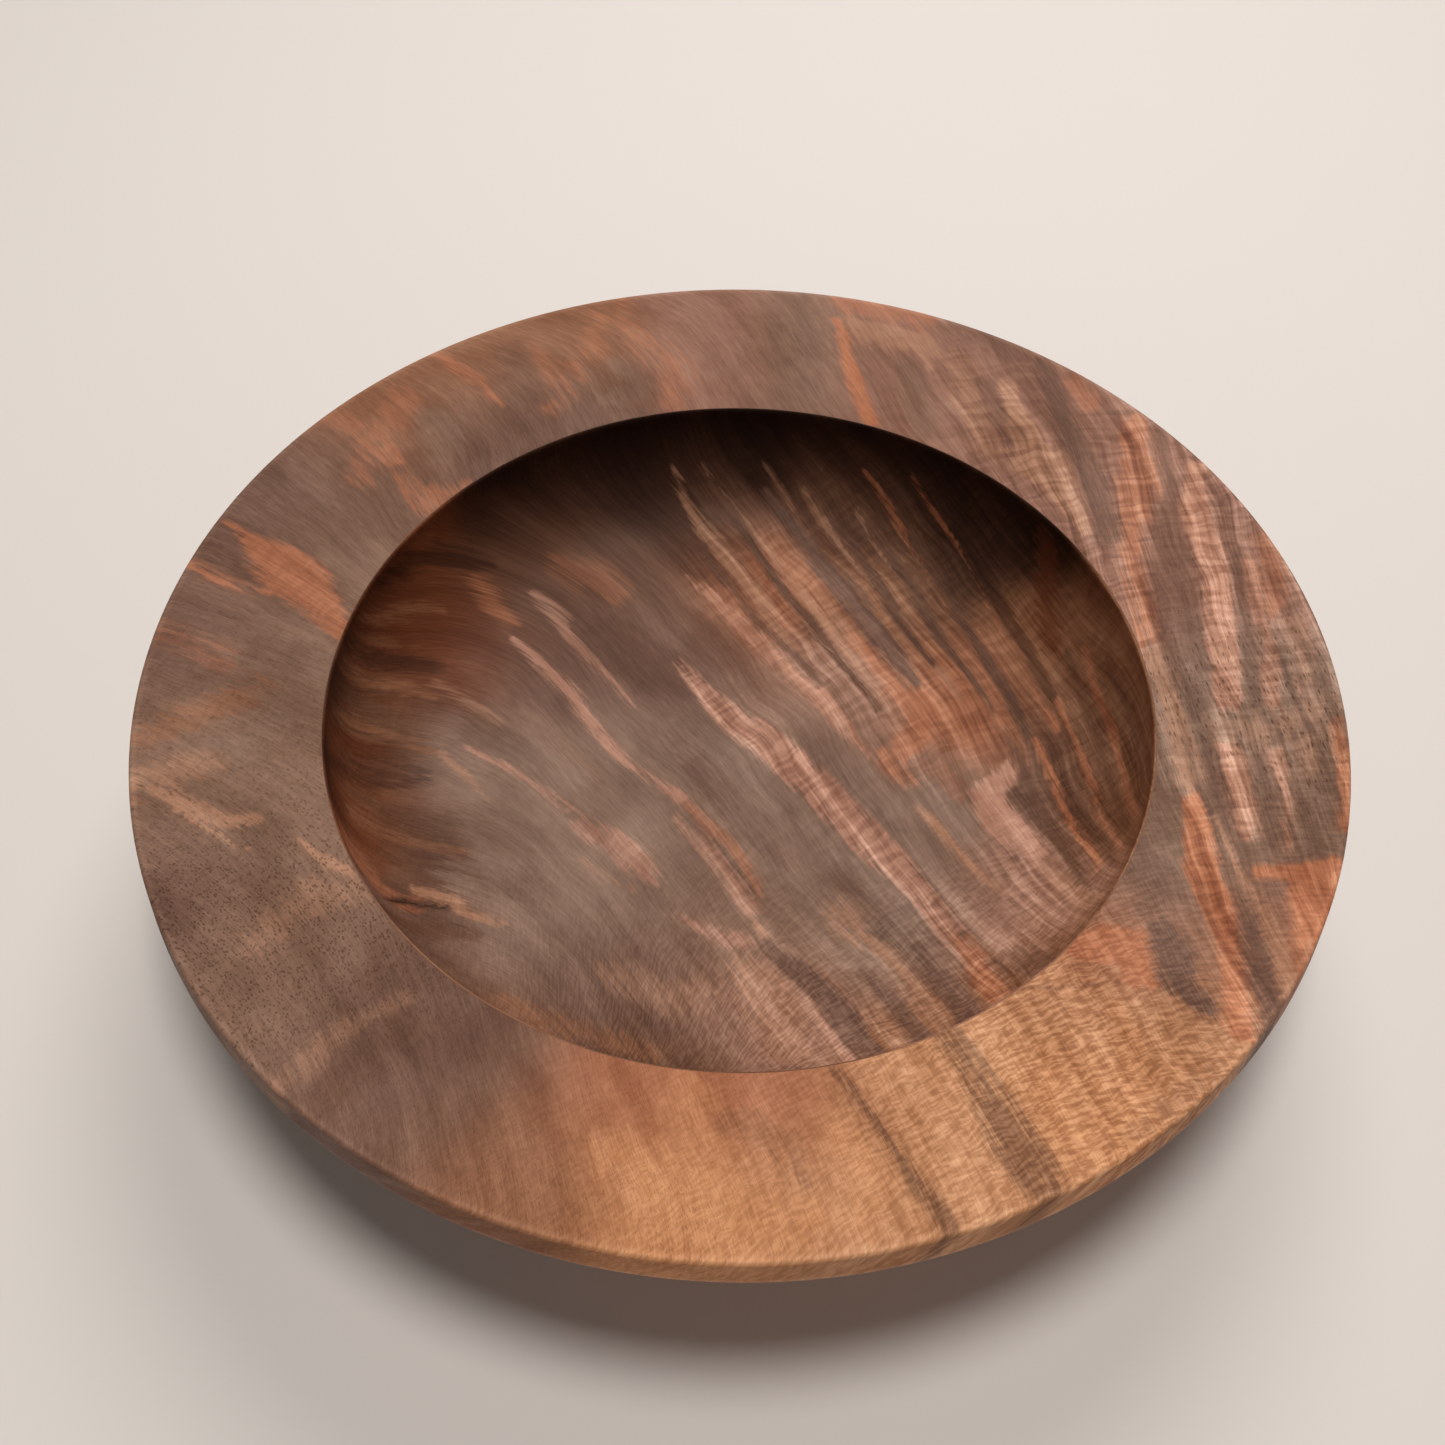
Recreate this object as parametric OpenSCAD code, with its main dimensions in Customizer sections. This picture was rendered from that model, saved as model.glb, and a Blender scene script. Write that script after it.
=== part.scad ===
// A shallow wide-rimmed bowl, turned on a lathe from one block of walnut.
// +Z is up. The origin is the centre of the foot, on the surface the bowl stands on.

/* [Rim] */
// Diameter across the top outer edge of the rim, before that edge is softened
rim_d = 200; // [188:1:240]
// Height from the foot to the top outer edge, before that edge is softened
bowl_h = 43; // [42:0.5:52]
// How far the rim's face falls from its outer edge to the well
rim_drop = 7; // [3:0.25:8.5]
// Height of the narrow face round the rim's outer edge
edge_h = 6; // [4:0.25:8]
// Angle by which that face leans out towards its lower edge
edge_flare = 7; // [0:0.5:12]

/* [Well] */
// Diameter of the well at its mouth
well_d = 141; // [120:1:150]
// Depth of the well, from its mouth to the middle of the floor
well_depth = 27.5; // [26:0.25:29.5]
// Radius of the cove between the wall and the floor
cove_r = 20; // [14:0.5:22]
// Radius to which the floor is dished
dish_r = 260; // [215:5:400]

/* [Underside] */
// Thickness of the wall round the cove
wall_t = 8; // [6:0.25:10]
// Diameter of the foot
foot_d = 100; // [90:1:106]
// Diameter of the shallow recess inside the foot
recess_d = 82; // [60:1:84]
// Depth of that recess
recess_depth = 2; // [1:0.25:3]
// Radius of the cove between the rim's underside and the body
neck_r = 12; // [8:0.5:14]
// Radius of the cove between the body and the foot
foot_cove_r = 3; // [2:0.25:3.5]

/* [Softened edges] */
// Radius on the rim's top outer edge
rim_soft = 0.6; // [0.3:0.1:1.2]
// Radius on the rim's lower outer edge
edge_soft = 0.9; // [0.3:0.1:1.5]
// Radius on the mouth of the well
mouth_soft = 0.5; // [0.3:0.1:1]
// Radius on the foot's edges
foot_soft = 0.6; // [0.3:0.1:1]

/* [Hidden] */
$fn = 180;

// Every outline below is drawn as a half section: x is the radius and y the height.
rim_r = rim_d / 2;
well_r = well_d / 2;
foot_r = foot_d / 2;
recess_r = recess_d / 2;

rim_edge = [rim_r, bowl_h];
mouth_edge = [well_r, bowl_h - rim_drop];
low_edge = rim_edge + [edge_h * tan(edge_flare), -edge_h];

// Directions along the rim's face, outwards, and down the narrow outer face
face_dir = unit(rim_edge - mouth_edge);
edge_dir = unit(low_edge - rim_edge);
down = [0, -1];
outward = [1, 0];

// The cove's circle touches the well's wall and the sphere of the dished floor.
floor_z = mouth_edge.y - well_depth;
dish_c = [0, floor_z + dish_r];
cove_c = [well_r - cove_r, dish_c.y - leg(dish_r - cove_r, well_r - cove_r)];
dish_touch = dish_c + unit(cove_c - dish_c) * dish_r;

// The body follows the cove at the wall's thickness.
body_r = cove_r + wall_t;

// The neck's circle touches the rim's underside, which is parallel to its face, and the body.
under_normal = [face_dir.y, -face_dir.x];
neck_line = low_edge + under_normal * neck_r;
neck_gap = (cove_c - neck_line) * under_normal;
neck_along = (cove_c - neck_line) * face_dir + leg(body_r + neck_r, neck_gap);
neck_c = neck_line + face_dir * neck_along;
neck_on_rim = neck_c - under_normal * neck_r;
neck_on_body = cove_c + unit(neck_c - cove_c) * body_r;
rim_root = low_edge - face_dir * (low_edge.x - cove_c.x) / face_dir.x;

// The foot's cove touches the foot's side and the body.
foot_cove_c = [
    foot_r + foot_cove_r,
    cove_c.y - leg(body_r + foot_cove_r, foot_r + foot_cove_r - cove_c.x)
];
foot_on_body = cove_c + unit(foot_cove_c - cove_c) * body_r;

// Extra length that carries a cut clear of the surface it starts from
clear = 20;

function unit(v) = v / norm(v);
function leg(hypotenuse, side) = sqrt(hypotenuse * hypotenuse - side * side);
function cross_2d(a, b) = abs(a.x * b.y - a.y * b.x);

// What is cut off to round an outer corner: the corner, less the circle that touches both
// of its sides. The two directions point away from the corner along its sides.
module corner_cut(corner, dir_a, dir_b, radius) {
    reach = radius / cross_2d(dir_a, dir_b);
    tangent = reach * (1 + dir_a * dir_b);
    centre = corner + (dir_a + dir_b) * reach;
    touch_a = corner + dir_a * tangent;
    touch_b = corner + dir_b * tangent;
    outside = -(dir_a + dir_b) * radius;
    difference() {
        polygon([centre, touch_a, touch_a + outside, touch_b + outside, touch_b]);
        translate(centre) circle(radius);
    }
}

// The space inside the well, open upwards
module well_outline() {
    polygon([
        [0, floor_z + dish_r / clear],
        dish_touch,
        cove_c,
        [well_r, cove_c.y],
        [well_r, bowl_h + clear],
        [0, bowl_h + clear]
    ]);
    translate(cove_c) circle(cove_r);
    intersection() {
        translate(dish_c) circle(dish_r, $fn = 720);
        polygon([dish_c, [0, floor_z - clear], dish_touch + (dish_touch - dish_c) / clear]);
    }
}

// The bowl as it would be with no well: rim, body, foot and the coves between them
module blank_outline() {
    polygon([
        [0, floor_z],
        rim_root,
        low_edge,
        rim_edge,
        mouth_edge,
        [0, mouth_edge.y]
    ]);
    intersection() {
        translate(cove_c) circle(body_r);
        square([rim_r, cove_c.y]);
    }
    square([foot_r, cove_c.y]);
    difference() {
        polygon([cove_c, neck_on_body, neck_c, neck_on_rim]);
        translate(neck_c) circle(neck_r);
    }
    difference() {
        polygon([
            [foot_r, cove_c.y],
            [foot_r, foot_cove_c.y],
            foot_cove_c,
            foot_on_body
        ]);
        translate(foot_cove_c) circle(foot_cove_r);
    }
}

module bowl_outline() {
    difference() {
        blank_outline();
        well_outline();
        translate([0, -clear]) square([recess_r, clear + recess_depth]);
        corner_cut(rim_edge, -face_dir, edge_dir, rim_soft);
        corner_cut(low_edge, -edge_dir, -face_dir, edge_soft);
        corner_cut(mouth_edge, face_dir, down, mouth_soft);
        corner_cut([foot_r, 0], -outward, -down, foot_soft);
        corner_cut([recess_r, 0], outward, -down, foot_soft);
    }
}

module bowl() {
    color([0.46, 0.29, 0.21]) rotate_extrude() bowl_outline();
}

bowl();
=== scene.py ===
"""A lathe-turned walnut bowl on a pale studio floor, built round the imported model.

The bowl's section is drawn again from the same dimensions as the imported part, turned into one
closed mesh and fitted to the frame's box. The wood's figure (its ground colours, streaks, curl,
pores and grain direction) is described below in bowl millimetres, x to the right and y to the
back. It is laid on the mesh as smooth attributes, to which the material adds the fine detail.
"""
import math

import bpy
import numpy as np
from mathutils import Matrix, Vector


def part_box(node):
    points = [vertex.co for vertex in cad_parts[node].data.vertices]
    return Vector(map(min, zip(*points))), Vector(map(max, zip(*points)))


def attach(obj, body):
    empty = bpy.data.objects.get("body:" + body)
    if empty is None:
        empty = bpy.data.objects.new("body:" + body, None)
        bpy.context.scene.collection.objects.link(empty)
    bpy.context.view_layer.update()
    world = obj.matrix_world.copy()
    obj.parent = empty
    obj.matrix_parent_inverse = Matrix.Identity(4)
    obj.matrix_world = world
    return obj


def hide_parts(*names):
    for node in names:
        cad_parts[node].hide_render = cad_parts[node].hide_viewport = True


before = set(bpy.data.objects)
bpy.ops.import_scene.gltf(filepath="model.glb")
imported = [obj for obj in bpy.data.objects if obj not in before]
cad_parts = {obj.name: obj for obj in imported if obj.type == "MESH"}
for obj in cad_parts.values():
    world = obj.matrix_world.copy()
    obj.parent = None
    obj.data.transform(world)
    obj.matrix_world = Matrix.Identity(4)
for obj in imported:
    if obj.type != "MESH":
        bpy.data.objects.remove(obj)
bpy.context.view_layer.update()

MM = 0.001

# --- The section, in millimetres: radius and height ---------------------------------------
RIM_R = 100.0
RIM_H = 43.0
MOUTH_R = 70.5
MOUTH_H = 36.0
EDGE_H = 6.0
EDGE_LEAN = math.radians(7)
WELL_DEPTH = 27.5
COVE_R = 20.0
DISH_R = 260.0
WALL = 8.0
FOOT_R = 50.0
RECESS_R = 41.0
RECESS_H = 2.0
NECK_R = 12.0
FOOT_COVE_R = 3.0
RIM_SOFT = 0.6
EDGE_SOFT = 0.9
MOUTH_SOFT = 0.5
FOOT_SOFT = 0.6

# How many vertices go round the bowl
SPOKES = 480


def unit(v):
    v = np.asarray(v, float)
    return v / np.linalg.norm(v)


def leg(hypotenuse, side):
    return math.sqrt(hypotenuse * hypotenuse - side * side)


def line(a, b, step):
    """Points from a to b, without b."""
    a, b = np.asarray(a, float), np.asarray(b, float)
    count = max(1, round(float(np.linalg.norm(b - a)) / step))
    return [a + (b - a) * i / count for i in range(count)]


def arc(centre, start, end, step):
    """Points round centre from start to end by the shorter way, without end."""
    centre, start, end = (np.asarray(p, float) for p in (centre, start, end))
    radius = float(np.linalg.norm(start - centre))
    first = math.atan2(*(start - centre)[::-1])
    sweep = math.atan2(*(end - centre)[::-1]) - first
    sweep = (sweep + math.pi) % (2 * math.pi) - math.pi
    count = max(3, round(abs(sweep) * radius / step))
    turns = [first + sweep * i / count for i in range(count)]
    return [centre + radius * np.array([math.cos(t), math.sin(t)]) for t in turns]


def soft_corner(corner, back, ahead, radius):
    """Where the arc that rounds a corner starts, its points, and where it ends.

    back and ahead point away from the corner along its sides.
    """
    reach = radius / abs(back[0] * ahead[1] - back[1] * ahead[0])
    tangent = reach * (1 + float(np.dot(back, ahead)))
    centre = corner + (back + ahead) * reach
    return (
        corner + back * tangent,
        arc(centre, corner + back * tangent, corner + ahead * tangent, radius * 0.35),
        corner + ahead * tangent,
    )


def section():
    """The outline from the middle of the floor, over the rim, to the middle of the recess.

    Gives the points and, for each, the name of the surface it lies on. The last number of
    each line or arc is the spacing of its points.
    """
    rim = np.array([RIM_R, RIM_H])
    mouth = np.array([MOUTH_R, MOUTH_H])
    low = rim + np.array([EDGE_H * math.tan(EDGE_LEAN), -EDGE_H])
    face = unit(rim - mouth)
    edge = unit(low - rim)
    down = np.array([0.0, -1.0])
    out = np.array([1.0, 0.0])

    floor_h = MOUTH_H - WELL_DEPTH
    dish_c = np.array([0.0, floor_h + DISH_R])
    cove_r = MOUTH_R - COVE_R
    cove_c = np.array([cove_r, dish_c[1] - leg(DISH_R - COVE_R, cove_r)])
    dish_end = dish_c + unit(cove_c - dish_c) * DISH_R
    wall_foot = cove_c + out * COVE_R

    body_r = COVE_R + WALL
    under = np.array([face[1], -face[0]])
    neck_line = low + under * NECK_R
    gap = float(np.dot(cove_c - neck_line, under))
    along = float(np.dot(cove_c - neck_line, face)) + leg(body_r + NECK_R, gap)
    neck_c = neck_line + face * along
    neck_top = neck_c - under * NECK_R
    neck_low = cove_c + unit(neck_c - cove_c) * body_r
    foot_x = FOOT_R + FOOT_COVE_R
    foot_c = np.array([foot_x, cove_c[1] - leg(body_r + FOOT_COVE_R, foot_x - cove_r)])
    foot_top = cove_c + unit(foot_c - cove_c) * body_r

    m0, mouth_arc, m1 = soft_corner(mouth, down, face, MOUTH_SOFT)
    r0, rim_arc, r1 = soft_corner(rim, -face, edge, RIM_SOFT)
    e0, low_arc, e1 = soft_corner(low, -edge, -face, EDGE_SOFT)
    f0, foot_arc, f1 = soft_corner(np.array([FOOT_R, 0.0]), -down, -out, FOOT_SOFT)
    s0, lip_arc, s1 = soft_corner(np.array([RECESS_R, 0.0]), out, -down, FOOT_SOFT)
    pieces = [
        ("well", arc(dish_c, [0.0, floor_h], dish_end, 1.0)),
        ("well", arc(cove_c, dish_end, wall_foot, 0.9)),
        ("well", line(wall_foot, m0, 0.6)),
        ("mouth", mouth_arc),
        ("rim", line(m1, r0, 0.72)),
        ("arris", rim_arc),
        ("edge", line(r1, e0, 0.7)),
        ("arris", low_arc),
        ("under", line(e1, neck_top, 2.0)),
        ("under", arc(neck_c, neck_top, neck_low, 2.0)),
        ("under", arc(cove_c, neck_low, foot_top, 2.6)),
        ("under", arc(foot_c, foot_top, [FOOT_R, foot_c[1]], 1.2)),
        ("under", line([FOOT_R, foot_c[1]], f0, 1.2)),
        ("foot", foot_arc),
        ("foot", line(f1, s0, 2.0)),
        ("foot", lip_arc),
        ("foot", line(s1, [RECESS_R, RECESS_H], 1.0)),
        ("foot", line([RECESS_R, RECESS_H], [0.0, RECESS_H], 4.0)),
        ("foot", [np.array([0.0, RECESS_H])]),
    ]
    points = np.array([p for _, run in pieces for p in run])
    names = [name for name, run in pieces for _ in run]
    return points, names


def plan_radius(points, names):
    """Each ring's radius on the figure's plan.

    It is the ring's own radius, except in the well. That is unrolled from its middle, so that
    the figure isn't stretched down the wall.
    """
    steps = np.linalg.norm(np.diff(points, axis=0), axis=1)
    walked = np.concatenate([[0.0], np.cumsum(steps)])
    rim = names.index("rim")
    return np.concatenate([walked[:rim], points[rim:, 0]])


def turn(points, spokes):
    """The section turned round Z: every ring's vertices, with one vertex at each pole."""
    angles = np.arange(spokes) * (2 * math.pi / spokes)
    round_points = np.stack([np.cos(angles), np.sin(angles)], 1)
    rings = points[1:-1]
    flat = rings[:, None, 0, None] * round_points[None]
    high = np.repeat(rings[:, 1, None, None], spokes, 1)
    body = np.concatenate([flat, high], 2).reshape(-1, 3)
    poles = np.array([[0.0, 0.0, points[0, 1]], [0.0, 0.0, points[-1, 1]]])
    return np.concatenate([body, poles])


def faces_of(rings, spokes):
    """Quads between the rings and a fan of triangles round each pole, all facing out."""
    here = np.arange(spokes)
    beside = (here + 1) % spokes
    starts = np.arange(rings - 1)[:, None] * spokes
    quads = np.stack(
        [starts + here, starts + spokes + here, starts + spokes + beside, starts + beside], 2
    ).reshape(-1, 4)
    last = (rings - 1) * spokes
    top, bottom = rings * spokes, rings * spokes + 1
    fans = [(top, int(a), int(b)) for a, b in zip(here, beside)]
    fans += [(bottom, int(last + b), int(last + a)) for a, b in zip(here, beside)]
    return quads.tolist() + fans


def fit_to_frame(vertices):
    """Stretches the drawn bowl, by a hair at most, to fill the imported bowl's box."""
    low, high = (np.array(corner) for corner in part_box("bowl"))
    own_low, own_high = vertices.min(0), vertices.max(0)
    return low + (vertices - own_low) / (own_high - own_low) * (high - low)


# --- The wood's figure, in bowl millimetres ------------------------------------------------

# What each vertex stores: two colours, then numbers that the material reads by these names
FIGURE_COLUMNS = (
    "ground_red", "ground_green", "ground_blue",
    "streak_red", "streak_green", "streak_blue",
    "cover", "strength", "curl", "pebble", "pores", "roundness",
)

# How far apart ground colours still blend, how a streak's edge and strength are scaled, and
# the least curl and width it has
GROUND_BLEND = 8.0
STREAK_SOFTNESS = 1.25
STREAK_POWER = 1.2
LEAST_CURL = 0.05
LEAST_WIDTH = 0.1

# Lengths and sizes of the waves that bend every drawn edge
WOBBLES = ((40, 0.30), (23, 0.22), (13, 0.12))

# The bumps that the grain's direction is fitted with: their grid, its reach, their size, and
# how hard they are held down
FLOW_GRID = 25
FLOW_REACH = 125
FLOW_SPREAD = 32.0
FLOW_DAMPING = 0.004

# How the figure shifts, in plan, and how the growth lines move, for each millimetre of depth,
# so that the edge and the body show it sliced
FIGURE_LEAN = np.array([0.5, 0.4])
LAYERS_DOWN = 1.6

# The radii between which the body's wood turns from the well's into the rim's
WELL_TO_RIM = (60, 78)

# Moves the rim's fine patterns away from the well's, so that neither repeats the other
RIM_PATTERN_SHIFT = 430.0

# How fast red, green and blue fall under the painted shade
SHADE_DEPTH = np.array([1.0, 1.15, 1.30])

TINTS = {
    "honey": (0.500, 0.220, 0.095),
    "gold": (0.450, 0.210, 0.100),
    "peach": (0.460, 0.215, 0.135),
    "buff": (0.430, 0.215, 0.145),
    "sand": (0.390, 0.195, 0.115),
    "amber": (0.420, 0.150, 0.070),
    "copper": (0.330, 0.120, 0.058),
    "rose": (0.250, 0.118, 0.078),
    "cinnamon": (0.235, 0.098, 0.048),
    "fawn": (0.355, 0.182, 0.122),
    # Grey: grey wood, and painted sheen in the middle of the well
    "ash": (0.220, 0.132, 0.094),
    "taupe": (0.195, 0.105, 0.068),
    "plum": (0.145, 0.072, 0.048),
    "umber": (0.115, 0.050, 0.028),
    "russet": (0.125, 0.036, 0.014),
    # Near black: dark wood, and painted shade on the far wall of the well
    "soot": (0.034, 0.012, 0.006),
}

# Ground: x, y, tint, curl, pebble, open pores, how round they are. Between them it blends.
RIM_GROUND = [
    (86, 2, "ash", 0.7, 0.2, 1, 0.2), (76, -8, "ash", 0.4, 0.1, 1, 0.2),
    (74, 20, "rose", 0.8, 0.2, 0.3, 0), (92, 18, "rose", 0.8, 0.2, 0.4, 0),
    (84, 38, "rose", 0.8, 0.2, 0.1, 0),
    (72, 52, "rose", 0.6, 0.1, 0, 0), (58, 62, "rose", 0.5, 0.1, 0, 0),
    (62, 74, "rose", 0.3, 0, 0, 0), (44, 76, "rose", 0.2, 0, 0, 0),
    (30, 84, "rose", 0.1, 0, 0, 0), (12, 84, "taupe", 0.1, 0, 0, 0),
    (-6, 80, "rose", 0, 0, 0.1, 0), (-8, 94, "rose", 0, 0, 0.1, 0),
    (-30, 86, "cinnamon", 0, 0, 0.1, 0), (-30, 70, "plum", 0, 0, 0.2, 0),
    (-50, 64, "plum", 0, 0, 0.2, 0), (-56, 76, "cinnamon", 0, 0, 0.2, 0),
    (-72, 62, "cinnamon", 0, 0, 0.2, 0), (-78, 46, "plum", 0, 0, 0.3, 0.3),
    (-74, 34, "taupe", 0, 0, 0.3, 0.3), (-92, 34, "plum", 0, 0, 0.3, 0.3),
    (-90, 16, "plum", 0, 0, 0.4, 0.4), (-78, 6, "taupe", 0, 0.1, 0.5, 0.5),
    (-95, 2, "plum", 0, 0.1, 0.5, 0.5), (-90, -12, "taupe", 0, 0.1, 0.6, 0.5),
    (-75, -14, "taupe", 0, 0.1, 0.6, 0.6), (-88, -26, "taupe", 0, 0.1, 0.9, 0.2),
    (-72, -28, "taupe", 0, 0.1, 0.8, 0.8), (-84, -44, "plum", 0, 0.1, 1, 1),
    (-66, -44, "taupe", 0, 0.1, 1, 1), (-70, -60, "taupe", 0, 0.1, 0.9, 1),
    (-52, -62, "plum", 0, 0.1, 0.7, 1), (-52, -78, "plum", 0, 0.1, 0.4, 0.8),
    (-38, -70, "plum", 0, 0.1, 0.3, 0.6), (-30, -86, "cinnamon", 0, 0.2, 0.5, 0.8),
    (-16, -76, "copper", 0, 0.2, 0.2, 0.4), (-8, -90, "honey", 0, 0.4, 0.6, 0.8),
    (4, -76, "copper", 0, 0.3, 0.2, 0.2), (10, -92, "gold", 0.1, 0.5, 0.2, 0.3),
    (24, -74, "gold", 0.2, 0.7, 0.1, 0), (34, -88, "gold", 0.2, 0.7, 0.1, 0),
    (46, -62, "gold", 0.3, 1, 0.1, 0), (48, -78, "honey", 0.3, 1, 0.1, 0),
    (62, -66, "gold", 0.3, 1, 0.1, 0), (56, -50, "copper", 0.1, 0.9, 0.1, 0),
    (68, -52, "taupe", 0.1, 0.3, 0.4, 0.3), (64, -38, "ash", 0.1, 0.3, 0.4, 0.3),
    (70, -24, "taupe", 0.2, 0.2, 0.3, 0.1), (84, -30, "taupe", 0.3, 0.3, 0.4, 0.1),
    (80, -56, "copper", 0.2, 0.4, 0.2, 0.1), (90, -14, "taupe", 0.5, 0.3, 1, 0.1),
]
WELL_GROUND = [
    # The grey anchors across the middle of the floor are grey wood with a painted sheen on it.
    (0, 0, "ash", 0.1, 0, 0.2, 0.2), (-22, 4, "ash", 0, 0, 0.2, 0.3),
    (-44, -4, "ash", 0, 0, 0.2, 0.3), (-34, 20, "plum", 0, 0, 0.1, 0.2),
    (-14, 28, "plum", 0, 0, 0.1, 0), (-26, 44, "umber", 0, 0, 0, 0),
    (-44, 44, "umber", 0, 0, 0, 0), (-56, 26, "russet", 0, 0, 0.1, 0),
    # The near-black anchors on this line and the next five are painted shade on the far wall.
    (-70, 40, "russet", 0, 0, 0.1, 0), (-50, 60, "soot", 0, 0, 0, 0),
    (-22, 66, "soot", 0, 0, 0, 0), (-8, 56, "umber", 0.1, 0, 0, 0),
    (6, 76, "soot", 0.1, 0, 0, 0), (-30, 78, "soot", 0, 0, 0, 0),
    (6, 46, "copper", 0.7, 0, 0, 0), (22, 60, "umber", 0.3, 0, 0, 0),
    (34, 70, "soot", 0.2, 0, 0, 0), (30, 40, "cinnamon", 0.6, 0, 0, 0),
    (46, 48, "soot", 0.3, 0, 0, 0), (62, 50, "soot", 0.3, 0, 0, 0),
    (56, 24, "cinnamon", 0.5, 0, 0, 0), (42, 16, "copper", 0.6, 0, 0, 0),
    (20, 20, "fawn", 0.7, 0, 0.1, 0), (16, 6, "ash", 0.2, 0, 0.1, 0),
    (30, -8, "ash", 0.3, 0, 0.1, 0), (66, 12, "umber", 0.5, 0.1, 0, 0),
    (78, 16, "cinnamon", 0.3, 0.1, 0, 0), (64, -14, "umber", 0.6, 0.2, 0.1, 0),
    (76, -20, "cinnamon", 0.3, 0.3, 0.1, 0), (50, -32, "fawn", 0.5, 0.5, 0.1, 0),
    (58, -50, "cinnamon", 0.3, 0.6, 0.1, 0), (14, -20, "ash", 0.2, 0.1, 0.2, 0.1),
    (2, -34, "taupe", 0.1, 0.3, 0.2, 0.1), (28, -34, "ash", 0.3, 0.4, 0.1, 0.1),
    (34, -56, "cinnamon", 0.3, 0.7, 0.1, 0), (4, -50, "fawn", 0.2, 0.8, 0.1, 0.1),
    (-18, -44, "plum", 0, 0.5, 0.3, 0.5), (-10, -60, "umber", 0, 0.6, 0.2, 0.4),
    (-34, -52, "plum", 0, 0.4, 0.3, 0.6), (-36, -38, "ash", 0, 0.2, 0.4, 0.7),
    (-22, -26, "ash", 0, 0.1, 0.3, 0.5), (-54, -42, "plum", 0, 0.2, 0.3, 0.4),
    (-58, -22, "umber", 0, 0.1, 0.2, 0.3), (-70, -16, "russet", 0, 0.1, 0.2, 0.1),
    (-70, 4, "umber", 0, 0.1, 0.2, 0.1), (-72, 22, "russet", 0, 0.1, 0.2, 0.1),
    (-78, -24, "russet", 0, 0.1, 0.1, 0), (0, -78, "umber", 0.1, 0.3, 0.2, 0.2),
    (-50, -66, "cinnamon", 0, 0.2, 0.3, 0.4), (48, -68, "rose", 0.2, 0.5, 0.1, 0),
]
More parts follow.
